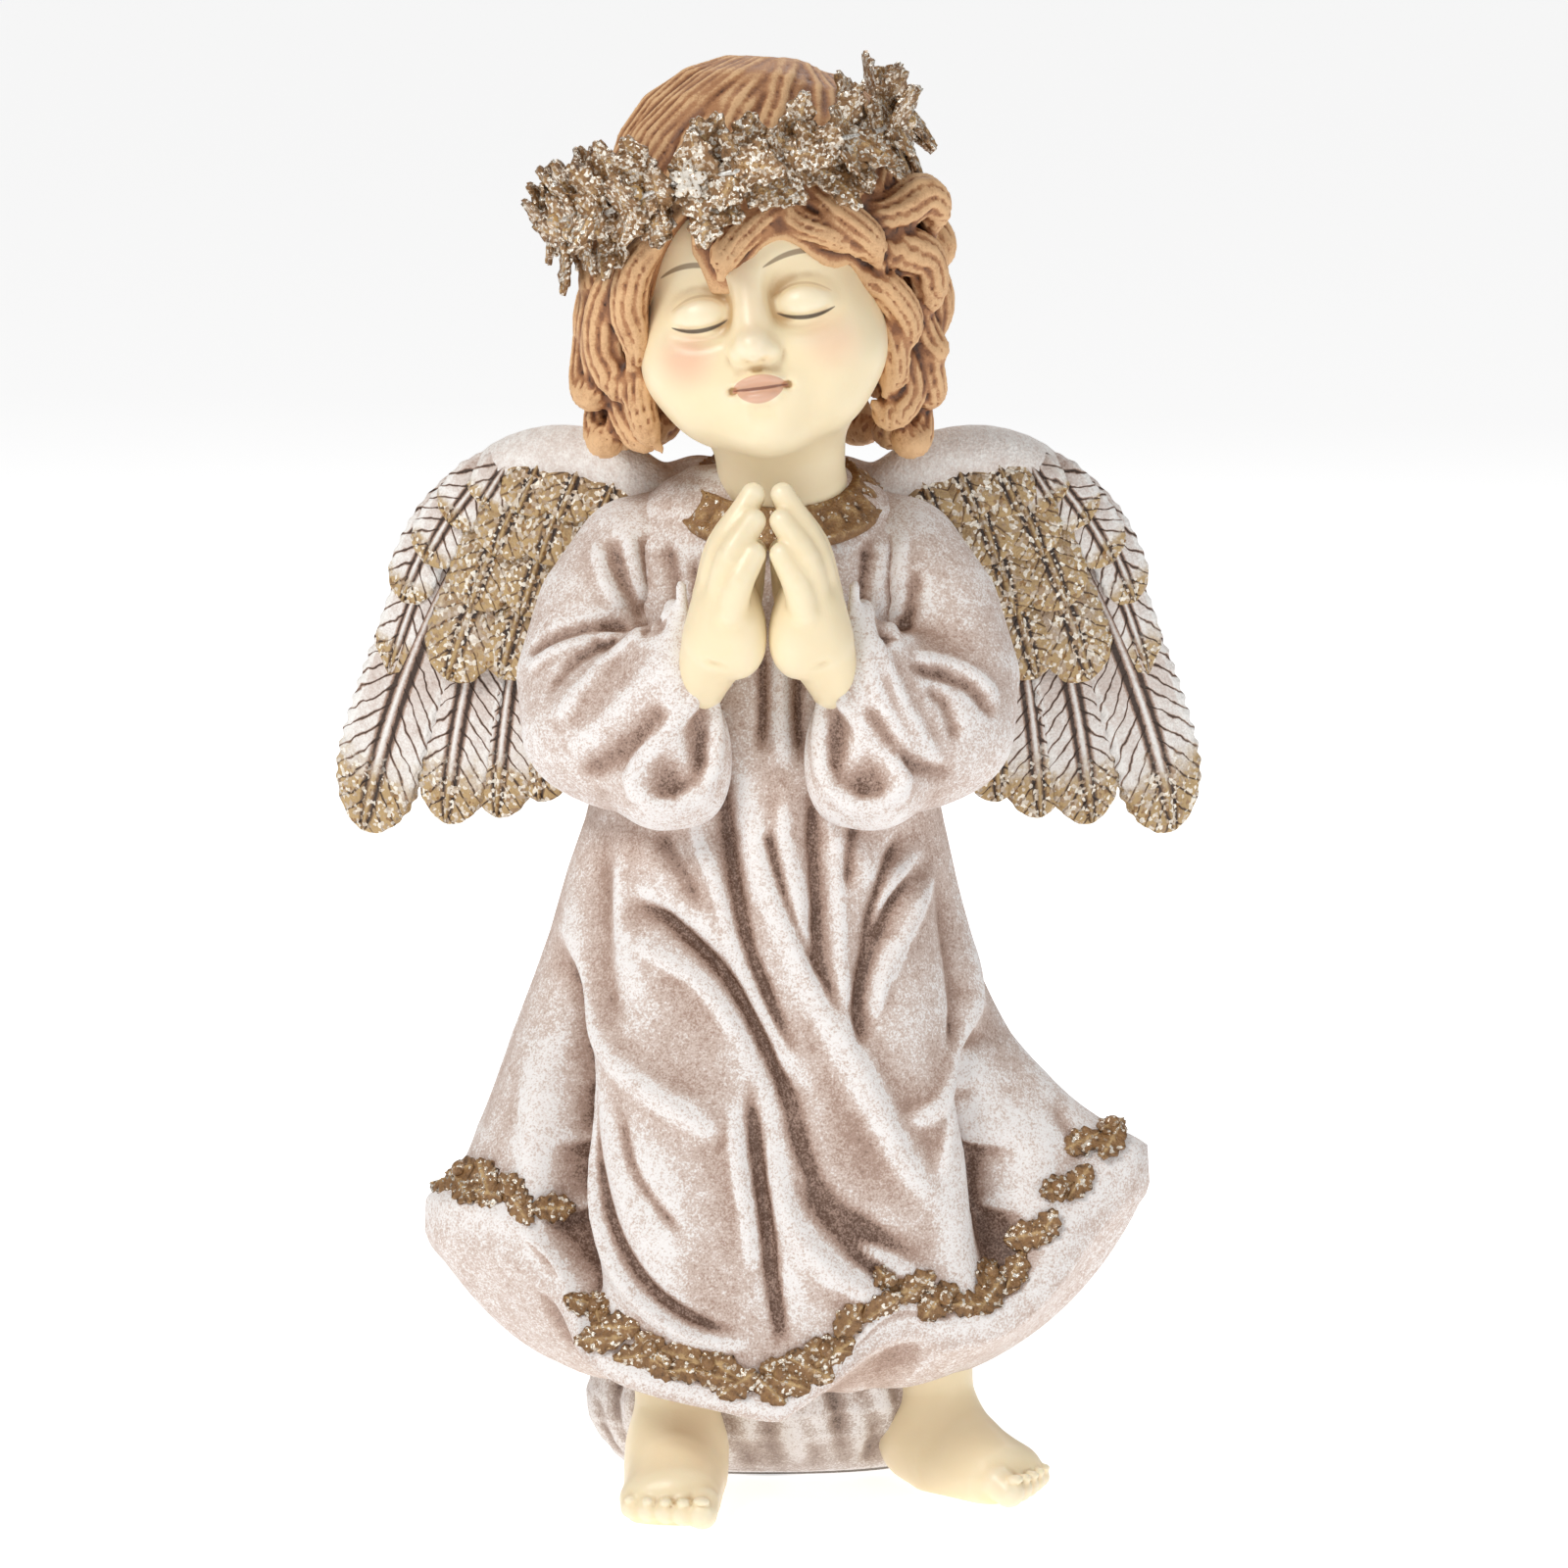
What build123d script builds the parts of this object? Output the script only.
from build123d import *

import os
from math import cos, pi, radians, sin
from typing import NamedTuple

# A praying child angel in cast resin, standing barefoot in a long gown.
#
# The figure faces -Y, its own left side is +X and +Z is up. The origin is on the surface it stands on,
# below the middle of its bounding box. All sizes are millimetres.
#
# It is a set of castings bonded together: a hollow gown shell closed underneath by the underskirt, the head
# with its neck spigot, the hair cap, two sleeves, two hands, two feet and two wings on steel dowels, then the
# dressings: a leaf wreath bound with wire, a collar braid and leaf sprays along the hem.

os.makedirs("parts", exist_ok=True)

# ---------------------------------------------------------------- driving dimensions
HEIGHT = 300.0  # top of the hair above the ground
WALL = 6.0  # the gown's wall
FELT = 1.0  # thickness of the felt under the base

HEAD_CENTRE = (-1.0, -7.0, 253.0)
HEAD_TURN = (-10.0, -8.0, -6.0)  # pitch forward, lean to the figure's right, turn, in degrees
FACE_RADIUS = 26.0
FACE_HALF_HEIGHT = 36.0
NECK_RADIUS = 12.5
NECK_SPIGOT_RADIUS = 9.0
NECK_BASE = (4.0, 2.0, 200.0)

HAIR_CENTRE = (-2.0, -1.0, 261.0)
HAIR_RADIUS = 34.0
HAIR_HALF_HEIGHT = HEIGHT - HAIR_CENTRE[2]

WREATH_CENTRE = (-8.0, -3.0, 278.0)
WREATH_RADIUS = 34.0
WREATH_VINE_RADIUS = 2.4
WREATH_LEAN = -17.0  # the wreath's left end, seen from the front, hangs lower
WREATH_WIRE_RADIUS = 0.5
WREATH_LEAVES = 16

WING_ROOT = (22.0, 18.0, 205.0)
WING_SWEEP = 20.0  # degrees that a wing is swept back from the figure's side
WING_LAYER = 2.6  # thickness of one row of feathers
DOWEL_RADIUS = 1.5
DOWEL_LENGTH = 18.0

PLUG_RADIUS = 8.0
PLUG_FLANGE_RADIUS = 10.0
PLUG_CENTRE = (2.0, 24.0)

RING_POINTS = 24  # points round each level of the gown
RUFFLES = 8  # soft folds round the skirt


class Level(NamedTuple):
    """One level of a draped shell: its height, half width, reach to the front and back, and fold depth."""

    z: float
    half_width: float
    front: float
    back: float
    fold: float


GOWN_MIDDLE_Y = 4.0
GOWN_LEVELS = [
    Level(27, 47, 42, 38, 2.0),
    Level(42, 60, 44, 40, 2.8),
    Level(62, 66, 42, 39.5, 3.0),
    Level(85, 59, 38, 38, 2.6),
    Level(110, 50, 33, 33, 1.6),
    Level(140, 38, 28, 26, 0.6),
    Level(165, 32, 25, 23, 0.0),
    Level(190, 31, 22, 22, 0.0),
    Level(205, 26, 18, 18, 0.0),
    Level(214, 17, 13, 13, 0.0),
]
UNDERSKIRT_MIDDLE_Y = 16.0
UNDERSKIRT_LEVELS = [
    Level(FELT, 31, 12, 28, 0.0),
    Level(7, 36, 22, 29, 0.6),
    Level(16, 38, 34, 29, 0.8),
    Level(28, 35, 36, 24, 0.4),
    Level(36, 33, 34, 22, 0.0),
]


def ring_point(level, angle, middle_y, inset=0.0):
    """The point of a level's outline at an angle from +X, with the soft folds on it."""
    reach = level.back if sin(angle) > 0 else level.front
    wave = level.fold * cos(RUFFLES * angle + 0.6)
    return (
        (level.half_width - inset + wave) * cos(angle),
        middle_y + (reach - inset + wave) * sin(angle),
    )


def ring_points(level, middle_y, inset=0.0):
    """All points of a level's outline, in order."""
    return [ring_point(level, 2 * pi * i / RING_POINTS, middle_y, inset) for i in range(RING_POINTS)]


def cavity_level(level):
    """A level of the hollow inside the gown, which has no folds."""
    return level._replace(
        half_width=level.half_width - WALL - level.fold,
        front=level.front - WALL - level.fold,
        back=level.back - WALL - level.fold,
        fold=0.0,
    )


def head_frame():
    """The plane of the head: its Z is the crown's direction and its -Y is the way the face looks."""
    return Plane(Location(HEAD_CENTRE, HEAD_TURN))


def local_point(plane, x, y, z):
    """A point given in a plane's own axes, in the figure's frame."""
    return plane.from_local_coords(Vector(x, y, z))


def save(builder, name):
    """Labels a finished piece and writes its STEP file."""
    builder.part.label = name
    export_step(builder.part, f"parts/{name}.step")


# ---------------------------------------------------------------- underskirt, plug and felt
with BuildPart() as underskirt:
    for level in UNDERSKIRT_LEVELS:
        with BuildSketch(Plane.XY.offset(level.z)):
            with BuildLine():
                Spline(*ring_points(level, UNDERSKIRT_MIDDLE_Y), periodic=True)
            make_face()
    loft()
    with Locations((*PLUG_CENTRE, FELT)):
        Cylinder(PLUG_RADIUS, 60, align=(Align.CENTER, Align.CENTER, Align.CENTER), mode=Mode.SUBTRACT)
        Cylinder(
            PLUG_FLANGE_RADIUS,
            1.5,
            align=(Align.CENTER, Align.CENTER, Align.MIN),
            mode=Mode.SUBTRACT,
        )

with BuildPart() as base_plug:
    with Locations((*PLUG_CENTRE, FELT)):
        Cylinder(PLUG_FLANGE_RADIUS, 1.5, align=(Align.CENTER, Align.CENTER, Align.MIN))
    with Locations((*PLUG_CENTRE, FELT + 1.5)):
        Cylinder(PLUG_RADIUS, 9, align=(Align.CENTER, Align.CENTER, Align.MIN))
    chamfer(base_plug.edges().filter_by(GeomType.CIRCLE).sort_by(Axis.Z)[-1], 1.2)

with BuildPart() as base_felt:
    with BuildSketch():
        with BuildLine():
            Spline(*ring_points(UNDERSKIRT_LEVELS[0], UNDERSKIRT_MIDDLE_Y, inset=1.5), periodic=True)
        make_face()
        with Locations(PLUG_CENTRE):
            Circle(PLUG_FLANGE_RADIUS + 1, mode=Mode.SUBTRACT)
    extrude(amount=FELT)

# ---------------------------------------------------------------- head with its neck
head_plane = head_frame()
head_axis = Axis(head_plane.origin, head_plane.z_dir)

with BuildPart() as head:
    with BuildSketch(Plane(head_plane.origin, x_dir=head_plane.x_dir, z_dir=-head_plane.y_dir)):
        Ellipse(FACE_RADIUS, FACE_HALF_HEIGHT)
        with Locations((-FACE_RADIUS, 0)):
            Rectangle(2 * FACE_RADIUS, 3 * FACE_HALF_HEIGHT, mode=Mode.SUBTRACT)
    revolve(axis=head_axis)
    with Locations(local_point(head_plane, 0, 5, 8)):
        Sphere(FACE_RADIUS + 1)
    for side in (-1, 1):
        with Locations(local_point(head_plane, 12 * side, -11, -14)):
            Sphere(13.5)
        with Locations(local_point(head_plane, 11 * side, -17.5, -3)):
            Sphere(7)
    with Locations(local_point(head_plane, 0, -13.5, -25)):
        Sphere(10.5)
    with Locations(local_point(head_plane, 0, -26, -11)):
        Sphere(3.4)
    with Locations(local_point(head_plane, 0, -22.5, -19.5)):
        Sphere(4.2)
    with BuildSketch(Plane.XY.offset(NECK_BASE[2])):
        with Locations(NECK_BASE[:2]):
            Circle(NECK_SPIGOT_RADIUS)
    with BuildSketch(Plane.XY.offset(NECK_BASE[2] + 10)):
        with Locations(NECK_BASE[:2]):
            Circle(NECK_RADIUS)
    with BuildSketch(Plane.XY.offset(NECK_BASE[2] + 34)):
        with Locations((NECK_BASE[0] - 3, NECK_BASE[1] - 2)):
            Circle(NECK_RADIUS)
    loft()

# ---------------------------------------------------------------- hair cap
# Each curl is (angle round the head from +X, height in the figure, radius, how far it stands out)
CURLS = [
    (angle, 240 + 7 * (i % 3), 9.5 + 1.5 * (i % 2), 26 + 3 * (i % 2))
    for i, angle in enumerate(range(-25, 206, 21))
]
FACE_WINDOW = (21.0, 30.0)  # half width and half height of the opening the face looks out of

with BuildPart() as hair:
    with BuildSketch(Plane.XZ.offset(-HAIR_CENTRE[1])):
        with Locations((HAIR_CENTRE[0], HAIR_CENTRE[2])):
            Ellipse(HAIR_RADIUS, HAIR_HALF_HEIGHT)
        with Locations((HAIR_CENTRE[0] - HAIR_RADIUS, HAIR_CENTRE[2])):
            Rectangle(2 * HAIR_RADIUS, 3 * HAIR_HALF_HEIGHT, mode=Mode.SUBTRACT)
    revolve(axis=Axis(HAIR_CENTRE, (0, 0, 1)))
    for angle, height, radius, reach in CURLS:
        with Locations(
            (
                HAIR_CENTRE[0] + reach * cos(radians(angle)),
                HAIR_CENTRE[1] + reach * sin(radians(angle)) - 2,
                height,
            )
        ):
            Sphere(radius)
    with BuildSketch(Plane(local_point(head_plane, 0, -4, -16), x_dir=head_plane.x_dir, z_dir=-head_plane.y_dir)):
        Ellipse(*FACE_WINDOW)
    extrude(amount=60, mode=Mode.SUBTRACT)
    with Locations((HAIR_CENTRE[0], HAIR_CENTRE[1], 208)):
        Box(90, 90, 40, mode=Mode.SUBTRACT)
    add(head.part, mode=Mode.SUBTRACT)

# ---------------------------------------------------------------- sleeves
SHOULDER = (26.0, 4.0, 197.0)


class Station(NamedTuple):
    """One cross-section of the sleeve: its centre, the way the arm runs there, half width and half height."""

    centre: tuple
    along: tuple
    half_width: float
    half_height: float


SLEEVE = [
    Station((20, 6, 199), (1, -0.1, -0.25), 13, 12),
    Station((33, 1, 187), (0.6, -0.25, -0.9), 16, 13),
    Station((38, -9, 172), (0.1, -0.6, -0.8), 17, 15),
    Station((31, -21, 168), (-0.75, -0.6, 0.0), 15, 21),
    Station((17, -29, 168), (-0.95, -0.3, 0.1), 11, 23),
]
CUFF_DEPTH = 9.0
CUFF_LIP = 2.2


def station_plane(station):
    """The plane across the arm at a station, with its X axis up the sleeve."""
    along = Vector(*station.along).normalized()
    side = along.cross(Vector(0, -1, 0.45)).normalized()
    return Plane(origin=station.centre, x_dir=side, z_dir=along)


with BuildPart() as left_sleeve:
    for station in SLEEVE:
        with BuildSketch(station_plane(station)):
            Ellipse(station.half_height, station.half_width)
    loft()
    mouth = SLEEVE[-1]
    with BuildSketch(station_plane(mouth)):
        Ellipse(mouth.half_height - CUFF_LIP, mouth.half_width - CUFF_LIP)
    extrude(amount=-CUFF_DEPTH, mode=Mode.SUBTRACT)

with BuildPart() as right_sleeve:
    mirror(left_sleeve.part, about=Plane.YZ)

# ---------------------------------------------------------------- hands
HAND_GAP = 0.15  # half the glue line between the palms
WRIST = (15.0, -30.0, 168.0)
PALM = (8.0, -33.0, 184.0)
FINGER_BASES = [(7.5, -40 + 5.0 * i, 190 + 1.2 * i) for i in range(4)]
FINGER_TIPS = [(2.8, -39.5 + 3.6 * i, 201 + 3.2 * i) for i in range(4)]
FINGER_RADIUS = 2.9


def limb(start, end, start_radius, end_radius):
    """A tapered round limb from start to end, with a ball at its end."""
    way = Vector(*end) - Vector(*start)
    plane = Plane(origin=start, z_dir=way.normalized())
    with BuildSketch(plane) as start_circle:
        Circle(start_radius)
    with BuildSketch(plane.offset(way.length)) as end_circle:
        Circle(end_radius)
    loft([start_circle.sketch, end_circle.sketch])
    with Locations(end):
        Sphere(end_radius)


with BuildPart() as left_hand:
    limb(WRIST, PALM, 8.0, 7.6)
    with Locations((7.6, -33, 189)):
        Sphere(7.6)
    for base, tip in zip(FINGER_BASES, FINGER_TIPS):
        limb(base, tip, FINGER_RADIUS + 0.6, FINGER_RADIUS)
    limb((6, -25, 188), (2.9, -27, 199), 3.2, 2.8)
    with Locations((-50 + HAND_GAP, -33, 190)):
        Box(100, 60, 90, mode=Mode.SUBTRACT)
    add(left_sleeve.part, mode=Mode.SUBTRACT)

with BuildPart() as right_hand:
    mirror(left_hand.part, about=Plane.YZ)

# ---------------------------------------------------------------- feet


def foot(heel, toe, ankle, instep, toe_radius):
    """A bare child's foot from heel to toe, cut flat on the ground, with its toes side by side."""
    way = Vector(toe[0] - heel[0], toe[1] - heel[1], 0)
    forward = way.normalized()
    across = Vector(-forward.Y, forward.X, 0)
    with Locations((*heel, 9)):
        Sphere(10)
    limb((*ankle, 34), (*ankle, 12), 10, 10)
    limb((*ankle, 12), (toe[0] - 6 * forward.X, toe[1] - 6 * forward.Y, 4.5), 10.5, 8)
    for i in range(5):
        shift = (i - 2) * toe_radius * 1.55
        reach = instep * (1 - 0.07 * abs(i - 1))
        base = Vector(*heel, 4.5) + forward * (reach - 9) + across * shift * 0.9
        tip = Vector(*heel, 3.2) + forward * reach + across * shift
        limb(tuple(base), tuple(tip), toe_radius * 1.25, toe_radius)
    with Locations((heel[0], heel[1], -20)):
        Box(140, 140, 40, mode=Mode.SUBTRACT)


with BuildPart() as right_foot:
    foot(heel=(-19, -14), toe=(-20.5, -42), ankle=(-19, -14), instep=30.5, toe_radius=3.3)
    add(underskirt.part, mode=Mode.SUBTRACT)

with BuildPart() as left_foot:
    foot(heel=(33, 0), toe=(52, -19), ankle=(33, 0), instep=30, toe_radius=3.1)
    add(underskirt.part, mode=Mode.SUBTRACT)

# ---------------------------------------------------------------- wing dowels
wing_plane = Plane(
    origin=WING_ROOT,
    x_dir=(cos(radians(WING_SWEEP)), sin(radians(WING_SWEEP)), 0),
    z_dir=(sin(radians(WING_SWEEP)), -cos(radians(WING_SWEEP)), 0),
)


with BuildPart() as left_wing_dowels:
    for height in (-4, 6):
        with Locations(Location(local_point(wing_plane, -2, height, -3.2), (0, 90, WING_SWEEP))):
            Cylinder(DOWEL_RADIUS, DOWEL_LENGTH)

with BuildPart() as right_wing_dowels:
    mirror(left_wing_dowels.part, about=Plane.YZ)

# ---------------------------------------------------------------- gown shell
CAVITY_HEIGHTS = (34, 60, 85, 110, 140, 165, 188)


def level_at(z):
    """The gown's level at any height, between the ones that drive it."""
    for low, high in zip(GOWN_LEVELS, GOWN_LEVELS[1:]):
        if low.z <= z <= high.z:
            share = (z - low.z) / (high.z - low.z)
            return Level(*(a + (b - a) * share for a, b in zip(low, high)))
    raise ValueError(f"the gown has no level at {z}")


with BuildPart() as cavity:
    for z in CAVITY_HEIGHTS:
        with BuildSketch(Plane.XY.offset(z)):
            with BuildLine():
                Spline(*ring_points(cavity_level(level_at(z)), GOWN_MIDDLE_Y), periodic=True)
            make_face()
    loft()

SUNK_IN_GOWN = (
    cavity,
    underskirt,
    head,
    left_sleeve,
    right_sleeve,
    left_hand,
    right_hand,
    left_foot,
    right_foot,
    left_wing_dowels,
    right_wing_dowels,
)

with BuildPart() as gown_form:
    for level in GOWN_LEVELS:
        with BuildSketch(Plane.XY.offset(level.z)):
            with BuildLine():
                Spline(*ring_points(level, GOWN_MIDDLE_Y), periodic=True)
            make_face()
    loft()

with BuildPart() as pierced_gown:
    add(gown_form.part)
    add([piece.part for piece in SUNK_IN_GOWN], mode=Mode.SUBTRACT)

# The cuts leave a loose crumb behind the hands, so only the shell itself is kept
with BuildPart() as gown:
    add(pierced_gown.part.solids().sort_by(SortBy.VOLUME)[-1])

# ---------------------------------------------------------------- wings


class FeatherRow(NamedTuple):
    """A row of feathers in the wing's plane, outward and up from its root: where its quills start and end,
    where its first and last tips are, how many feathers it has and how deep the notches between tips are."""

    quills: tuple
    tips: tuple
    count: int
    notch: float


FEATHER_ROWS = [
    FeatherRow(((4, -4), (54, -8)), ((14, -54), (72, -62)), 6, 4.0),
    FeatherRow(((2, 2), (54, -3)), ((13, -36), (64, -42)), 6, 3.6),
    FeatherRow(((0, 6), (52, 2)), ((11, -19), (58, -22)), 6, 3.2),
    FeatherRow(((-2, 10), (48, 8)), ((11, -5), (52, -7)), 6, 2.8),
]
SLEEVE_BACK = 19.3  # the wings stay behind this plane as far out as the sleeves reach
SLEEVE_REACH = 46.0
# The smooth arm along the wing's leading edge, outward and up from the wing's root
WING_ARM = [(-5, -8), (-1, 8), (10, 20), (25, 24), (40, 18), (52, 3), (54, -8), (44, -4), (28, 3), (10, -8)]

def between(start, end, share):
    """The point a given share of the way from start to end."""
    return tuple(p + (q - p) * share for p, q in zip(start, end))


def row_outline(row):
    """A row of feathers in the current sketch, its lower edge scalloped with one round tip for each feather."""
    tips = [between(*row.tips, (i + 0.5) / row.count) for i in range(row.count)]
    ends = [between(*row.tips, i / row.count) for i in range(row.count + 1)]
    notches = [(x, y + row.notch) for x, y in ends]
    with BuildLine() as outline:
        Polyline(notches[0], *row.quills, notches[-1])
        for left, tip, right in zip(notches, tips, notches[1:]):
            ThreePointArc(left, tip, right)
    make_face(outline.edges())


with BuildPart() as wing_form:
    for layer, row in enumerate(FEATHER_ROWS):
        with BuildSketch(wing_plane.offset(layer * WING_LAYER * 0.8 - 5)):
            row_outline(row)
        extrude(amount=WING_LAYER)
    with BuildSketch(wing_plane.offset(-6)):
        with BuildLine():
            Spline(*WING_ARM, periodic=True)
        make_face()
    extrude(amount=4 * WING_LAYER)

# The smooth upper gown, where the wings and the collar are bonded on
with BuildPart() as shoulder_form:
    for level in GOWN_LEVELS[5:]:
        with BuildSketch(Plane.XY.offset(level.z)):
            with Locations((0, GOWN_MIDDLE_Y)):
                Ellipse(level.half_width + level.fold, level.back + level.fold)
    loft()

with BuildPart() as left_wing:
    add(wing_form.part)
    with Locations((0, SLEEVE_BACK, WING_ROOT[2])):
        Box(2 * SLEEVE_REACH, 60, 90, align=(Align.CENTER, Align.MAX, Align.CENTER), mode=Mode.SUBTRACT)
    add([shoulder_form.part, left_wing_dowels.part], mode=Mode.SUBTRACT)

with BuildPart() as right_wing:
    mirror(left_wing.part, about=Plane.YZ)

# ---------------------------------------------------------------- wreath
wreath_plane = Plane(Location(WREATH_CENTRE, (0, WREATH_LEAN, 0)))
LEAF_LENGTH = 11.0
LEAF_THICKNESS = 1.4
LEAF_GAP = 0.1  # glue line between a leaf's stalk and the vine


def leaf_points(length, width):
    """The corners of a holly leaf, from its stalk at the origin along +X, with three spikes a side."""
    spikes = [(0.0, 0.12), (0.18, 0.5), (0.30, 0.28), (0.5, 0.55), (0.62, 0.28), (0.8, 0.42), (0.86, 0.16)]
    upper = [(length * x, width * y) for x, y in spikes]
    lower = [(x, -y) for x, y in reversed(upper)]
    return [*upper, (length, 0), *lower]


with BuildPart() as wreath_vine:
    with BuildSketch(Plane(WREATH_CENTRE, x_dir=wreath_plane.x_dir, z_dir=-wreath_plane.y_dir)):
        with Locations((WREATH_RADIUS, 0)):
            Circle(WREATH_VINE_RADIUS)
    revolve(axis=Axis(WREATH_CENTRE, wreath_plane.z_dir))
    add([hair.part, head.part], mode=Mode.SUBTRACT)

with BuildPart() as wreath_leaf:
    with BuildSketch():
        Polygon(*leaf_points(LEAF_LENGTH, LEAF_LENGTH * 0.62), align=None)
    extrude(amount=LEAF_THICKNESS)


def leaf_ring(tilt, shift, turn):
    """The wreath's leaves in one ring: tilt is how far they point up, and turn is their slant along the vine."""
    for i in range(WREATH_LEAVES):
        angle = 360 * (i + shift) / WREATH_LEAVES
        place = Location(WREATH_CENTRE, (0, WREATH_LEAN, 0)) * Location((0, 0, 0), (0, 0, angle))
        root = WREATH_RADIUS + WREATH_VINE_RADIUS + LEAF_GAP
        on_vine = Location((root, 0, 1.6 if tilt > 0 else -1.6), (0, -tilt, 0))
        add(wreath_leaf.part.moved(place * on_vine * Location((0, 0, 0), (0, 0, turn))))
    add([hair.part, head.part], mode=Mode.SUBTRACT)


with BuildPart() as wreath_upper_leaves:
    leaf_ring(tilt=48, shift=0, turn=14)

with BuildPart() as wreath_lower_leaves:
    leaf_ring(tilt=-38, shift=0.5, turn=-14)

with BuildPart() as wreath_wire:
    with BuildSketch(Plane(WREATH_CENTRE, x_dir=wreath_plane.x_dir, z_dir=-wreath_plane.y_dir)):
        with Locations((WREATH_RADIUS + WREATH_VINE_RADIUS + WREATH_WIRE_RADIUS, 0)):
            Circle(WREATH_WIRE_RADIUS)
    revolve(axis=Axis(WREATH_CENTRE, wreath_plane.z_dir))
    add(hair.part, mode=Mode.SUBTRACT)

with BuildPart() as wreath_flower:
    front = Plane(WREATH_CENTRE, x_dir=wreath_plane.x_dir, z_dir=-wreath_plane.y_dir)
    with BuildSketch(front.offset(WREATH_RADIUS + WREATH_VINE_RADIUS + 2 * WREATH_WIRE_RADIUS)):
        Circle(1.4)
        with PolarLocations(2.4, 5):
            Circle(1.5)
    extrude(amount=1.6)

BERRY_RADIUS = 1.7
BERRY_ANGLES = (-160, -118, -55, -15, 40, 130)
with BuildPart() as wreath_berries:
    for angle in BERRY_ANGLES:
        reach = WREATH_RADIUS + WREATH_VINE_RADIUS + BERRY_RADIUS + 1.2
        x, y = reach * cos(radians(angle)), reach * sin(radians(angle))
        with Locations(local_point(wreath_plane, x, y, 0)):
            Sphere(BERRY_RADIUS)

# ---------------------------------------------------------------- collar braid
COLLAR_CENTRE = (3.0, 1.5, 210.5)
COLLAR_TILT = 18.0  # the front of the collar hangs lower
collar_plane = Plane(Location(COLLAR_CENTRE, (COLLAR_TILT, 0, 0)))

with BuildPart() as collar_braid:
    with BuildSketch(Plane(COLLAR_CENTRE, x_dir=collar_plane.x_dir, z_dir=-collar_plane.y_dir)):
        with Locations(Location((18.5, 1.0, 0), (0, 0, -50))):
            RectangleRounded(7.5, 3.0, 1.2)
    revolve(axis=Axis(COLLAR_CENTRE, collar_plane.z_dir))
    add([head.part, shoulder_form.part, left_sleeve.part, right_sleeve.part], mode=Mode.SUBTRACT)

# ---------------------------------------------------------------- leaf sprays along the hem
# Each spray is (angle round the gown from +X, height, slant of its leaves, glue between it and the folds it
# lies across), in degrees and millimetres
SPRAYS = [
    (196, 62, 20, 1.8),
    (226, 42, -25, 1.6),
    (250, 36, 5, 2.1),
    (281, 37, 20, 1.9),
    (309, 41, -10, 1.4),
    (327, 52, 35, 3.2),
    (347, 72, 60, 1.5),
]
SPRAY_LEAF = 9.0
SPRAY_THICKNESS = 2.4


def leaf_spray(angle, height, slant, glue):
    """Three holly leaves on the gown's face, spread round two berries."""
    x, y = ring_point(level_at(height), radians(angle), GOWN_MIDDLE_Y)
    out = (cos(radians(angle)), sin(radians(angle)), 0)
    round_gown = (-sin(radians(angle)), cos(radians(angle)), 0)
    place = Plane(origin=(x, y, height), x_dir=round_gown, z_dir=out)
    with BuildSketch(place.offset(glue)) as outline:
        for turn in (slant, slant + 170, slant + 85):
            Polygon(*leaf_points(SPRAY_LEAF, SPRAY_LEAF * 0.6), rotation=turn, align=None)
    extrude(outline.sketch, amount=SPRAY_THICKNESS)


sprays = []
for number, (angle, height, slant, glue) in enumerate(SPRAYS, start=1):
    with BuildPart() as spray:
        leaf_spray(angle, height, slant, glue)
    sprays.append((f"hem_spray_{number}", spray))

# ---------------------------------------------------------------- write the pieces
for name, piece in [
    ("gown", gown),
    ("underskirt", underskirt),
    ("base_plug", base_plug),
    ("base_felt", base_felt),
    ("head", head),
    ("hair", hair),
    ("left_sleeve", left_sleeve),
    ("right_sleeve", right_sleeve),
    ("left_hand", left_hand),
    ("right_hand", right_hand),
    ("left_foot", left_foot),
    ("right_foot", right_foot),
    ("left_wing", left_wing),
    ("right_wing", right_wing),
    ("left_wing_dowels", left_wing_dowels),
    ("right_wing_dowels", right_wing_dowels),
    ("wreath_vine", wreath_vine),
    ("wreath_upper_leaves", wreath_upper_leaves),
    ("wreath_lower_leaves", wreath_lower_leaves),
    ("wreath_wire", wreath_wire),
    ("wreath_flower", wreath_flower),
    ("wreath_berries", wreath_berries),
    ("collar_braid", collar_braid),
    *sprays,
]:
    save(piece, name)
